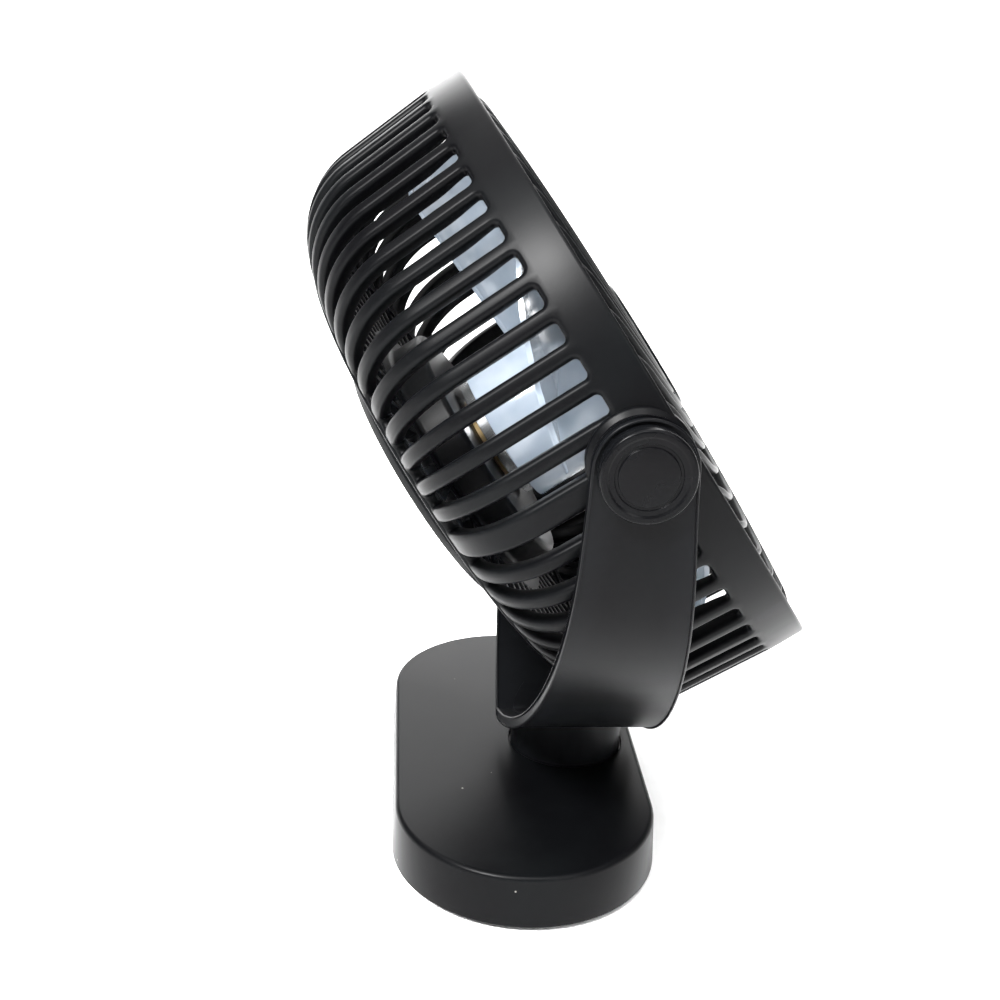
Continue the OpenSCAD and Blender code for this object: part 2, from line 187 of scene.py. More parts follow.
@dataclass(frozen=True)
class Finish:
    """What a surface is made of, and how it was made."""

    name: str
    colour: str
    roughness: float

    def material(self) -> bpy.types.Material:
        """The Blender material of this finish, made once.

        Returns:
            The material.
        """
        known = bpy.data.materials.get(self.name)
        if known:
            return known
        material = bpy.data.materials.new(self.name)
        material.use_nodes = True
        tree = material.node_tree
        shader = tree.nodes["Principled BSDF"]
        shader.inputs["Base Color"].default_value = linear(self.colour)
        shader.inputs["Roughness"].default_value = self.roughness
        place = add_node(tree, "TexCoord").outputs["Object"]
        self.dress(tree, shader, place)
        return material

    def dress(self, tree: Tree, shader: Node, place: Socket) -> None:
        """Adds this finish's own pattern to the shader.

        Args:
            tree: The material's node tree.
            shader: Its Principled shader.
            place: Object coordinates in metres.
        """
        raise NotImplementedError

    def link_rough(
        self,
        tree: Tree,
        shader: Node,
        source: Socket,
        spread: float,
    ) -> None:
        """Lets the roughness vary about its own value.

        Args:
            tree: The material's node tree.
            shader: Its Principled shader.
            source: A value from 0 to 1.
            spread: Half of the variation.
        """
        low, high = self.roughness - spread, self.roughness + spread
        limits = {"Value": source, "To Min": low, "To Max": high}
        rough = add_node(tree, "MapRange", limits)
        tree.links.new(rough.outputs["Result"], shader.inputs["Roughness"])

    def link_bump(
        self,
        tree: Tree,
        shader: Node,
        height: Socket,
        depth: float,
        strength: float = 1.0,
    ) -> None:
        """Gives the surface a relief.

        Args:
            tree: The material's node tree.
            shader: Its Principled shader.
            height: A height from 0 to 1.
            depth: What a height of 1 stands for, in millimetres.
            strength: Share of the relief that is shown.
        """
        bump = add_node(tree, "Bump", {"Height": height, "Distance": depth * MM, "Strength": strength})
        tree.links.new(bump.outputs["Normal"], shader.inputs["Normal"])


@dataclass(frozen=True)
class MouldedAbs(Finish):
    """ABS from a finely spark-eroded mould: nearly black, satin, so it carries broad soft highlights."""

    lighter: str = "#070809"
    grain: float = 0.45
    cloud: float = 22.0
    relief: float = 0.006
    specular: float = 0.05
    dust: float = 0.0
    speck: float = 0.028

    def dress(self, tree: Tree, shader: Node, place: Socket) -> None:
        """Adds the mould's grain, faint clouds of flow in its colour and gloss, a painted highlight that pales the
        sharp edges, and specks of dust.
        """
        # The grain of the mould is about 0.1 mm; it is drawn four times as coarse so that it shows.
        grain = noise(tree, place, self.grain, 2.0)
        clouds = noise(tree, place, self.cloud, 4.0)
        body = add_ramp(tree, clouds.outputs["Fac"], [(0.35, self.colour), (0.7, self.lighter)])
        # Sharp convex edges are painted a little paler: a painted highlight along them.
        edges = add_node(tree, "NewGeometry").outputs["Pointiness"]
        limits = {"Value": edges, "From Min": 0.52, "From Max": 0.6, "To Max": 0.5}
        painted_edge_highlight = add_node(tree, "MapRange", limits)
        colour = blend(tree, painted_edge_highlight.outputs["Result"], body, "#101113")
        if self.dust:
            specks = add_node(tree, "TexVoronoi", {"Vector": place, "Scale": per_mm(self.dust)})
            near = {0: specks.outputs["Distance"], 1: self.speck}
            chosen = add_node(tree, "Math", near, operation="LESS_THAN")
            colour = blend(tree, chosen.outputs["Value"], colour, "#6d6c68")
        tree.links.new(colour, shader.inputs["Base Color"])
        shader.inputs["IOR"].default_value = 1.53
        shader.inputs["Specular IOR Level"].default_value = self.specular
        self.link_rough(tree, shader, clouds.outputs["Fac"], 0.05)
        self.link_bump(tree, shader, grain.outputs["Fac"], self.relief)


@dataclass(frozen=True)
class SmokedStyrene(Finish):
    """Tinted AS resin, moulded thin and polished: it passes light with a grey cast and glosses coolly."""

    deeper: str = "#9caab8"
    ripple: float = 9.0

    def dress(self, tree: Tree, shader: Node, place: Socket) -> None:
        """Adds the slow colour change of uneven wall thickness and faint flow ripples."""
        flow = noise(tree, place, self.ripple, 2.0)
        body = add_ramp(tree, flow.outputs["Fac"], [(0.3, self.colour), (0.75, self.deeper)])
        tree.links.new(body, shader.inputs["Base Color"])
        shader.inputs["IOR"].default_value = 1.57
        shader.inputs["Transmission Weight"].default_value = 0.35
        self.link_rough(tree, shader, flow.outputs["Fac"], 0.04)
        self.link_bump(tree, shader, flow.outputs["Fac"], 0.02)


@dataclass(frozen=True)
class PlatedSteel(Finish):
    """Pressed steel with a thin zinc or nickel plate: bright, slightly cloudy."""

    spangle: float = 1.5

    def dress(self, tree: Tree, shader: Node, place: Socket) -> None:
        """Adds the plate's clouding."""
        cloud = noise(tree, place, self.spangle, 3.0)
        body = add_ramp(tree, cloud.outputs["Fac"], [(0.3, "#8f9194"), (0.7, self.colour)])
        tree.links.new(body, shader.inputs["Base Color"])
        shader.inputs["Metallic"].default_value = 1.0
        self.link_rough(tree, shader, cloud.outputs["Fac"], 0.08)
        self.link_bump(tree, shader, cloud.outputs["Fac"], 0.004)


@dataclass(frozen=True)
class TurnedMetal(Finish):
    """Metal finished on a lathe or drawn in a press: fine lines round the axis break up its reflections."""

    line: float = 0.25

    def dress(self, tree: Tree, shader: Node, place: Socket) -> None:
        """Adds the tool's lines."""
        lines = add_node(
            tree,
            "TexWave",
            {"Vector": place, "Scale": per_mm(self.line) / math.tau, "Distortion": 1.5, "Detail": 2.0},
            bands_direction="DIAGONAL",
        )
        shader.inputs["Metallic"].default_value = 1.0
        self.link_rough(tree, shader, lines.outputs["Fac"], 0.06)
        self.link_bump(tree, shader, lines.outputs["Fac"], 0.003)


@dataclass(frozen=True)
class MouldedRubber(Finish):
    """Nitrile rubber, compression moulded: matt, dark grey, with a bloom."""

    bloom: float = 3.0

    def dress(self, tree: Tree, shader: Node, place: Socket) -> None:
        """Adds the bloom and a fine leathery grain."""
        bloom = noise(tree, place, self.bloom, 5.0)
        grain = add_node(tree, "TexVoronoi", {"Vector": place, "Scale": per_mm(0.5)})
        body = add_ramp(tree, bloom.outputs["Fac"], [(0.35, self.colour), (0.75, "#2b2b2b")])
        tree.links.new(body, shader.inputs["Base Color"])
        shader.inputs["IOR"].default_value = 1.52
        shader.inputs["Specular IOR Level"].default_value = 0.3
        self.link_rough(tree, shader, bloom.outputs["Fac"], 0.08)
        self.link_bump(tree, shader, grain.outputs["Distance"], 0.03)


@dataclass(frozen=True)
class MouldedPlastic(Finish):
    """A small moulding or an insulated wire in its own colour: even, with a soft gloss."""

    darker: str = "#000000"
    mottle: float = 2.0
    gloss: float = 0.0

    def dress(self, tree: Tree, shader: Node, place: Socket) -> None:
        """Adds a faint mottle."""
        mottle = noise(tree, place, self.mottle, 3.0)
        body = add_ramp(tree, mottle.outputs["Fac"], [(0.3, self.darker), (0.65, self.colour)])
        tree.links.new(body, shader.inputs["Base Color"])
        shader.inputs["IOR"].default_value = 1.49
        shader.inputs["Coat Weight"].default_value = self.gloss
        self.link_rough(tree, shader, mottle.outputs["Fac"], 0.05)
        self.link_bump(tree, shader, mottle.outputs["Fac"], 0.01)


@dataclass(frozen=True)
class CircuitBoard(Finish):
    """Glass-epoxy board under solder mask: glossy green, with paler copper tracks showing through."""

    track: float = 2.5

    def dress(self, tree: Tree, shader: Node, place: Socket) -> None:
        """Adds the tracks."""
        cells = add_node(
            tree,
            "TexVoronoi",
            {"Vector": place, "Scale": per_mm(self.track), "Randomness": 0.6},
            feature="DISTANCE_TO_EDGE",
        )
        body = add_ramp(tree, cells.outputs["Distance"], [(0.1, "#2c7a4d"), (0.16, self.colour)])
        tree.links.new(body, shader.inputs["Base Color"])
        shader.inputs["IOR"].default_value = 1.55
        self.link_rough(tree, shader, cells.outputs["Distance"], 0.06)
        self.link_bump(tree, shader, cells.outputs["Distance"], 0.02)


@dataclass(frozen=True)
class WoundWire(Finish):
    """Enamelled copper wire wound in layers: a metal of fine parallel strands, amber under the enamel."""

    wire: float = 0.35

    def dress(self, tree: Tree, shader: Node, place: Socket) -> None:
        """Adds the strands."""
        strands = add_node(
            tree,
            "TexWave",
            {"Vector": place, "Scale": per_mm(self.wire) / math.tau, "Distortion": 0.6},
            bands_direction="Z",
        )
        body = add_ramp(tree, strands.outputs["Fac"], [(0.1, "#5a2a10"), (0.7, self.colour)])
        tree.links.new(body, shader.inputs["Base Color"])
        shader.inputs["Metallic"].default_value = 1.0
        shader.inputs["Coat Weight"].default_value = 0.4
        self.link_rough(tree, shader, strands.outputs["Fac"], 0.06)
        self.link_bump(tree, shader, strands.outputs["Fac"], 0.12)


@dataclass(frozen=True)
class StudioPaper(Finish):
    """Matt white background paper."""

    fibre: float = 6.0

    def dress(self, tree: Tree, shader: Node, place: Socket) -> None:
        """Adds a barely visible fibre."""
        fibre = noise(tree, place, self.fibre, 3.0)
        body = add_ramp(tree, fibre.outputs["Fac"], [(0.3, "#fbfbfb"), (0.7, self.colour)])
        tree.links.new(body, shader.inputs["Base Color"])
        shader.inputs["Specular IOR Level"].default_value = 0.1
        self.link_rough(tree, shader, fibre.outputs["Fac"], 0.03)


BLACK_ABS = MouldedAbs("Moulded black ABS", "#040405", 0.34)
BASE_ABS = MouldedAbs("Moulded black ABS with dust", "#040405", 0.32, dust=9.0)
CAP_ABS = MouldedAbs("Polished black ABS", "#040405", 0.26, relief=0.003)
FINISHES: dict[str, Finish] = {
    "abs_black": BLACK_ABS,
    "gloss_black": MouldedPlastic("Black epoxy casing", "#141415", 0.3, darker="#0b0b0c"),
    "steel": PlatedSteel("Zinc plated steel", "#c3c5c7", 0.32),
    "chrome_steel": TurnedMetal("Nickel plated drawn steel", "#cfd1d3", 0.2),
    "brass": TurnedMetal("Oiled brass", "#4a3f2c", 0.45),
    "rubber": MouldedRubber("Nitrile rubber", "#1b1b1b", 0.75),
    "acetal": MouldedPlastic("Natural acetal", "#dedcd2", 0.4, darker="#cfccc0"),
    "board": CircuitBoard("Green solder mask", "#0f4a2b", 0.3),
    "copper": WoundWire("Enamelled copper wire", "#b4622c", 0.35),
    "lead_red": MouldedPlastic("Red wire insulation", "#8e1b1b", 0.35, darker="#6d1212"),
    "magnet": MouldedPlastic("Bonded ferrite", "#3a3a3d", 0.55, darker="#29292b"),
    "blade_grey": SmokedStyrene("Smoked AS resin", "#b4bfcb", 0.14),
}
PAPER = StudioPaper("White background paper", "#ffffff", 0.9)


# ---- Drawing meshes ----


@dataclass
class Corner:
    """A corner of a section, which may be rounded by a radius."""

    x: float
    y: float
    radius: float = 0.0


def rounded(corners: Sequence[Corner], closed: bool = True, steps: int = 5) -> list[Flat]:
    """Rounds the corners of a section.

    Args:
        corners: The corners in order.
        closed: Whether the last corner joins the first.
        steps: Straight pieces that each rounding is drawn in.

    Returns:
        The section's points in order.
    """
    line: list[Flat] = []
    count = len(corners)
    for i, corner in enumerate(corners):
        here = Vector((corner.x, corner.y))
        if corner.radius <= 0 or (not closed and i in (0, count - 1)):
            line.append((corner.x, corner.y))
            continue
        before, after = corners[i - 1], corners[(i + 1) % count]
        back = Vector((before.x, before.y)) - here
        ahead = Vector((after.x, after.y)) - here
        half = back.angle(ahead) / 2
        reach = min(corner.radius / math.tan(half), back.length * 0.49, ahead.length * 0.49)
        start, end = here + back.normalized() * reach, here + ahead.normalized() * reach
        radius = reach * math.tan(half)
        middle = here + (back.normalized() + ahead.normalized()).normalized() * radius / math.sin(half)
        first, last = start - middle, end - middle
        for k in range(steps + 1):
            arm = first.slerp(last, k / steps) if first.angle(last) > 0.01 else first
            line.append(tuple(middle + arm.normalized() * radius))
    return line


class Side(Enum):
    """A side of the fan, with the sign of its X."""

    LEFT = -1
    RIGHT = 1


@dataclass
class Draft:
    """A mesh being drawn, in millimetres."""

    points: list[Vector] = field(default_factory=list)
    faces: list[tuple[int, ...]] = field(default_factory=list)

    def grid(self, rows: Sequence[Sequence[Vector]], ring: bool = False, tube: bool = False) -> None:
        """Adds a sheet of quads.

        Args:
            rows: Rows of points, all of one length.
            ring: Whether each row closes on itself.
            tube: Whether the last row joins the first.
        """
        start, across = len(self.points), len(rows[0])
        for row in rows:
            self.points.extend(row)
        for i in range(len(rows) - (0 if tube else 1)):
            for j in range(across - (0 if ring else 1)):
                here, there = start + i * across, start + (i + 1) % len(rows) * across
                after = (j + 1) % across
                self.faces.append((here + j, here + after, there + after, there + j))

    def lid(self, ring: Sequence[Vector]) -> None:
        """Adds one flat face through a ring of points."""
        start = len(self.points)
        self.points.extend(ring)
        self.faces.append(tuple(range(start, start + len(ring))))

    def lathe(self, section: Sequence[Flat], steps: int = 96) -> None:
        """Turns a closed section of (radius, height) points round the Z axis.

        Args:
            section: The section's points in order, which join up at the end.
            steps: Straight pieces in a whole turn.
        """
        ways = [turned(360 * k / steps) for k in range(steps)]
        rows = [[Vector((radius * c, radius * s, height)) for c, s in ways] for radius, height in section]
        self.grid(rows, ring=True, tube=True)

    def lathe_x(self, section: Sequence[Flat], line: Flat, side: Side, steps: int = 72) -> None:
        """Turns a closed section of (radius, distance out) points round a line along X.

        Args:
            section: The section's points in order.
            line: The line's Y and Z.
            side: The side that it is on.
            steps: Straight pieces in a whole turn.
        """
        ways = [turned(360 * k / steps) for k in range(steps)]
        rows = []
        for radius, out in section:
            x = side.value * out
            rows.append([Vector((x, line[0] + radius * c, line[1] + radius * s)) for c, s in ways])
        self.grid(rows, ring=True, tube=True)

    def make(
        self,
        name: str,
        body: str,
        slot: str,
        place: Matrix = Matrix.Identity(4),
        finish: Finish | None = None,
        replaces: Sequence[str] = (),
        crease: float = 38.0,
    ) -> bpy.types.Object:
        """Makes the object and ties it to the frame.

        Args:
            name: The piece's name.
            body: The body that it moves with.
            slot: The record's material slot.
            place: Its place, a matrix in metres.
            finish: Its finish, if it isn't the slot's own.
            replaces: The CAD nodes that it stands for.
            crease: Edges that turn more than this many degrees stay sharp.

        Returns:
            The new object.
        """
        mesh = bpy.data.meshes.new(name)
        mesh.from_pydata([place @ (p * MM) for p in self.points], [], self.faces)
        shape = bmesh.new()
        shape.from_mesh(mesh)
        bmesh.ops.remove_doubles(shape, verts=shape.verts, dist=0.002 * MM)
        bmesh.ops.dissolve_degenerate(shape, edges=shape.edges, dist=0.001 * MM)
        bmesh.ops.recalc_face_normals(shape, faces=shape.faces)
        shape.to_mesh(mesh)
        shape.free()
        mesh.shade_smooth()
        mesh.set_sharp_from_angle(angle=math.radians(crease))
        mesh.materials.append((finish or FINISHES[slot]).material())
        piece = bpy.data.objects.new(name, mesh)
        bpy.context.scene.collection.objects.link(piece)
        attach(piece, body)
        if replaces:
            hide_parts(*replaces)
        log.info("%s: %d faces", name, len(mesh.polygons))
        return piece


def soften(node: str, body: str, slot: str, edge: float) -> bpy.types.Object:
    """Stands a copy with rounded edges in for a CAD node.

    Args:
        node: The CAD node.
        body: The body that it moves with.
        slot: The record's material slot.
        edge: Width of the rounding in millimetres.

    Returns:
        The new object.
    """
    mesh = frame["nodes"][node].data.copy()
    mesh.name = node + "_soft"
    shape = bmesh.new()
    shape.from_mesh(mesh)
    bmesh.ops.remove_doubles(shape, verts=shape.verts, dist=0.001 * MM)
    flat_turn = math.radians(0.5)
    bmesh.ops.dissolve_limit(shape, angle_limit=flat_turn, verts=shape.verts, edges=shape.edges)
    sharp = [e for e in shape.edges if len(e.link_faces) == 2 and e.calc_face_angle(0) > math.radians(35)]
    bmesh.ops.bevel(
        shape,
        geom=sharp,
        offset=edge * MM,
        segments=2,
        profile=0.6,
        affect="EDGES",
        clamp_overlap=True,
    )
    shape.to_mesh(mesh)
    shape.free()
    mesh.shade_smooth()
    mesh.set_sharp_from_angle(angle=math.radians(30))
    mesh.materials.clear()
    mesh.materials.append(FINISHES[slot].material())
    piece = bpy.data.objects.new(node + "_soft", mesh)
    bpy.context.scene.collection.objects.link(piece)
    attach(piece, body)
    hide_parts(node)
    return piece


def head_place() -> Matrix:
    """The head's own axes at rest, with the front rim's centre as origin, from the record's spin joint.

    Returns:
        A matrix in metres.
    """
    rim_ahead_of_motor = 30.0
    spin = next(j for j in frame["joints"] if j["name"] == "fan_spin")
    ahead, side = Vector(spin["axis"]), Vector((1, 0, 0))
    up = ahead.cross(side)
    place = Matrix((side, up, ahead)).transposed().to_4x4()
    place.translation = Vector(spin["pos_m"]) + ahead * rim_ahead_of_motor * MM
    return place


# ---- Base ----


@dataclass
class Base:
    """The low weighted base, with half-round ends and a recess for the stem."""

    length: float = 123.0
    width: float = 63.0
    top: float = 13.6
    lift: float = 0.8
    wall: float = 2.2
    draft: float = 0.8
    top_round: float = 1.3
    stem: Flat = (0.0, -13.0)
    recess_r: float = 14.5
    recess_depth: float = 1.2

    def outline(self, inset: float, height: float) -> list[Vector]:
        """The outline, drawn in by an inset.

        Args:
            inset: How far in.
            height: Its height.

        Returns:
            Its points, in the same number for any inset.
        """
        half, radius = (self.length - self.width) / 2, self.width / 2 - inset
        ends = 48
        straight = 40
        points = [(half + radius * turned(a)[0], radius * turned(a)[1]) for a in self.turns(-90, 90, ends)]
        points += [(mixed(half, -half, k / straight), radius) for k in range(1, straight)]
        points += [(radius * turned(a)[0] - half, radius * turned(a)[1]) for a in self.turns(90, 270, ends)]
        points += [(mixed(-half, half, k / straight), -radius) for k in range(1, straight)]
        return [Vector((x, y, height)) for x, y in points]

    @staticmethod
    def turns(start: float, end: float, steps: int) -> list[float]:
        """Angles from start to end in equal steps."""
        return [mixed(start, end, k / steps) for k in range(steps + 1)]

    def ring(self, radius: float, height: float) -> list[Vector]:
        """A circle round the stem with a point towards each point of the outline.

        Args:
            radius: The circle's radius.
            height: Its height.

        Returns:
            Its points.
        """
        centre = Vector((*self.stem, height))
        return [centre + (p - centre).normalized() * radius for p in self.outline(2, height)]

    def build(self) -> None:
        """Makes the housing."""
        shell = Draft()
        section = rounded(
            [
                Corner(self.wall, 4.0),
                Corner(self.wall, self.lift, 0.2),
                Corner(0.15, self.lift, 0.5),
                Corner(self.draft, self.top, self.top_round),
                Corner(8.0, self.top),
            ],
            closed=False,
            steps=6,
        )
        rows = [self.outline(inset, height) for inset, height in section[:-1]]
        edge = 0.35
        recess = self.recess_r
        floor = self.top - self.recess_depth
        for radius, height in [
            (recess + edge + 0.6, self.top),
            (recess + edge, self.top),
            (recess + 0.1, self.top - 0.1),
            (recess, self.top - edge),
            (recess, floor),
        ]:
            rows.append(self.ring(radius, height))
        shell.grid(rows, ring=True)
        shell.lid(rows[0])
        shell.lid(rows[-1])
        shell.make("base_housing", "base", "abs_black", finish=BASE_ABS, replaces=["base_shell"])


# ---- Yoke ----


@dataclass
class Yoke:
    """The U-shaped yoke: a strap that widens towards its foot, on a round stem."""

    half_width: float = 80.4
    thick: float = 2.8
    under: float = 19.4
    bend_from: float = 96.0
    pivot: Flat = PIVOT
    arm_top: float = 10.0
    arm_foot: float = 18.2
    stem_r: float = 14.1
    stem_low: float = 12.5
    edge: float = 0.45
    side_bend: float = 1.69
    under_bend: float = 1.06
    flare: float = 1.35
    line: list[tuple[float, Vector, Vector]] = field(default_factory=list)

    def __post_init__(self) -> None:
        """Draws the strap's outer line from arm top to arm top, with its length and inward normal."""
        top = self.pivot[1] + self.arm_top
        arm, bend = 40, 240
        half = [Vector((self.half_width, mixed(top, self.bend_from, k / arm))) for k in range(arm)]
        half += [self.bend_point(90 * k / bend) for k in range(bend + 1)]
        points = half + [Vector((-p.x, p.y)) for p in reversed(half[:-1])]
        run = 0.0
        for i, point in enumerate(points):
            before, after = points[max(i - 1, 0)], points[min(i + 1, len(points) - 1)]
            along = (after - before).normalized()
            if i:
                run += (point - before).length
            self.line.append((run, point, Vector((along.y, -along.x))))

    def bend_point(self, turn: float) -> Vector:
        """A point of the bend, from the arm (turn 0) to the foot (turn 90)."""
        across, down = (max(v, 0.0) for v in turned(turn))
        drop = self.bend_from - self.under
        out = self.half_width * across**self.side_bend
        return Vector((out, self.bend_from - drop * down**self.under_bend))

    def half_depth(self, height: float) -> float:
        """Half of the strap's width front to back at a height."""
        axis = self.pivot[1]
        if height >= axis:
            return math.sqrt(max(self.arm_top**2 - (height - axis) ** 2, 0))
        share = (axis - max(height, self.under)) / (axis - self.under)
        return self.arm_top + (self.arm_foot - self.arm_top) * share**self.flare

    def edge_line(self) -> list[Flat]:
        """One long edge of the strap laid flat, as (length, half depth), with even arcs at the arm tops.

        Returns:
            Its points from one arm's top to the other's.
        """
        total = self.line[-1][0]
        arc = [(self.arm_top - self.arm_top * c, self.arm_top * s) for c, s in map(turned, range(0, 90, 6))]
        middle = [(run, self.half_depth(p.y)) for run, p, _ in self.line]
        middle = [m for m in middle if self.arm_top <= m[0] <= total - self.arm_top]
        return arc + middle[::3] + [(total - run, deep) for run, deep in reversed(arc)]

    def at(self, run: float, depth: float, lift: float) -> Vector:
        """A point of the strap.

        Args:
            run: Length along the strap.
            depth: Distance behind the pivot line.
            lift: Distance in from the outer face.

        Returns:
            The point.
        """
        low, high = 0, len(self.line) - 1
        while high - low > 1:
            middle = (low + high) // 2
            low, high = (middle, high) if self.line[middle][0] <= run else (low, middle)
        start, end = self.line[low], self.line[high]
        share = (run - start[0]) / (end[0] - start[0])
        flat = start[1].lerp(end[1], share) + start[2].lerp(end[2], share).normalized() * lift
        return Vector((flat.x, self.pivot[0] + depth, flat.y))

    def build(self) -> None:
        """Makes the strap with its stem."""
        edge = self.edge_line()
        normals = []
        for i in range(len(edge)):
            before = Vector(edge[i - 1]) if i else Vector((edge[1][0], -edge[1][1]))
            after = Vector(edge[i + 1]) if i + 1 < len(edge) else Vector((edge[-2][0], -edge[-2][1]))
            along = (after - before).normalized()
            normals.append(Vector((along.y, -along.x)))
        quarter = [turned(90 * k / 4) for k in range(5)]
        rim = [(self.edge * (1 - s), self.edge * (1 - c)) for c, s in reversed(quarter)]
        rim += [(self.edge * (1 - s), self.thick - self.edge * (1 - c)) for c, s in quarter]
        # rim runs from the outer face round the edge to the inner face as (inset, lift)
        strap = Draft()
        for side in (1, -1):
            rows = []
            for inset, lift in rim:
                flat = [Vector(p) + n * inset for p, n in zip(edge, normals)]
                rows.append([self.at(max(p.x, 0.0), side * max(p.y, 0.0), lift) for p in flat])
            strap.grid(rows)
        for inset, lift in (rim[0], rim[-1]):
            flat = [Vector(p) + n * inset for p, n in zip(edge, normals)]
            rows = []
            for share in (-1, -0.5, 0, 0.5, 1):
                rows.append([self.at(max(p.x, 0.0), share * max(p.y, 0.0), lift) for p in flat])
            strap.grid(rows)
        self.add_stem(strap)
        strap.make("yoke_moulding", "yoke", "abs_black", replaces=["yoke"])

    def inner_height(self, x: float) -> float:
        """Height of the strap's inner face at a distance from its middle."""
        near = min(self.line, key=lambda row: abs(row[1].x - x) + (row[1].y > self.bend_from) * 99)
        return near[1].y + self.thick * near[2].y

    def add_stem(self, strap: Draft) -> None:
        """Adds the stem, whose top follows the strap.

        Args:
            strap: The mesh to add it to.
        """
        steps = 72
        ways = [turned(360 * k / steps) for k in range(steps)]
        rows = []
        for radius in (0.0, 5.0, 10.0, self.stem_r - 0.5, self.stem_r - 0.12, self.stem_r):
            drop = 0.05 + max(radius - self.stem_r + 0.5, 0)
            rows.append(
                [
                    Vector((radius * c, self.pivot[0] + radius * s, self.inner_height(radius * c) - drop))
                    for c, s in ways
                ]
            )
        for radius in (self.stem_r, 0.0):
            rows.append([Vector((radius * c, self.pivot[0] + radius * s, self.stem_low)) for c, s in ways])
        strap.grid(rows, ring=True)


@dataclass
class PivotCap:
    """Round cover of a pivot screw, with a ring-shaped groove."""

    node: str
    side: Side
    radius: float = 9.0
    low: float = 80.4
    out: float = 83.8
    groove: Flat = (5.7, 6.3)
    groove_deep: float = 0.5
    dish: float = 0.25

    def build(self) -> None:
        """Makes the cap."""
        inner, outer = self.groove
        section = rounded(
            [
                Corner(0, self.low + 1),
                Corner(self.radius, self.low + 1),
                Corner(self.radius, self.out, 0.6),
                Corner(self.radius - 1.3, self.out, 0.3),
                Corner(self.radius - 1.7, self.out - self.dish, 0.3),
                Corner(outer, self.out - self.dish, 0.15),
                Corner(outer, self.out - self.groove_deep, 0.1),
                Corner(inner, self.out - self.groove_deep, 0.1),
                Corner(inner, self.out - self.dish * 0.4, 0.3),
                Corner(0, self.out - self.dish * 0.4),
            ],
            closed=False,
        )
        skirt = rounded(
            [
                Corner(self.radius - 1.8, self.low),
                Corner(self.radius, self.low, 0.2),
                Corner(self.radius, self.low + 1.2),
                Corner(self.radius - 1.8, self.low + 1.2),
            ]
        )
        cap = Draft()
        cap.lathe_x(section, PIVOT, self.side)
        cap.lathe_x(skirt, PIVOT, self.side)
        cap.make(self.node + "_cover", "yoke", "abs_black", finish=CAP_ABS, replaces=[self.node])


# ---- Head shells ----


@dataclass
class GuardSkin:
    """The rear guard's outer line, from the front rim back and in to the axis."""

    head_r: float = 75.0
    crease: float = 8.8
    draft: float = 3.4
    shoulder_r: float = 21.0
    depth: float = 51.0

    def __post_init__(self) -> None:
        """Works out where the line's straight and curved parts meet."""
        c, s = turned(self.draft)
        self.shoulder_z = self.shoulder_r - self.depth
        self.side_end_z = self.shoulder_z - self.shoulder_r * s
        self.side_run = (-self.side_end_z - self.crease) / c
        self.side_end_r = self.head_r - self.side_run * s
        self.shoulder_c = self.side_end_r - self.shoulder_r * c
        self.shoulder_from = self.crease + self.side_run
        self.shoulder_to = self.shoulder_from + self.shoulder_r * math.radians(90 - self.draft)

    def at(self, run: float) -> tuple[float, float, Vector]:
        """A point of the line.

        Args:
            run: Length along it from the front rim.

        Returns:
            Its radius, its height and the outward normal as (radius, height).
        """
        if run <= self.crease:
            return self.head_r, -run, Vector((1, 0))
        c, s = turned(self.draft)
        if run <= self.shoulder_from:
            past = run - self.crease
            return self.head_r - past * s, -self.crease - past * c, Vector((c, -s))
        if run <= self.shoulder_to:
            c, s = turned(self.draft + math.degrees((run - self.shoulder_from) / self.shoulder_r))
            radius, height = self.shoulder_c + self.shoulder_r * c, self.shoulder_z - self.shoulder_r * s
            return radius, height, Vector((c, -s))
        return self.shoulder_c - (run - self.shoulder_to), -self.depth, Vector((0, -1))

    def run_at_radius(self, radius: float) -> float:
        """Length along the line to a radius on the shoulder or the flat back."""
        if radius < self.shoulder_c:
            return self.shoulder_to + self.shoulder_c - radius
        turn = math.acos((radius - self.shoulder_c) / self.shoulder_r)
        return self.shoulder_from + self.shoulder_r * (turn - math.radians(self.draft))


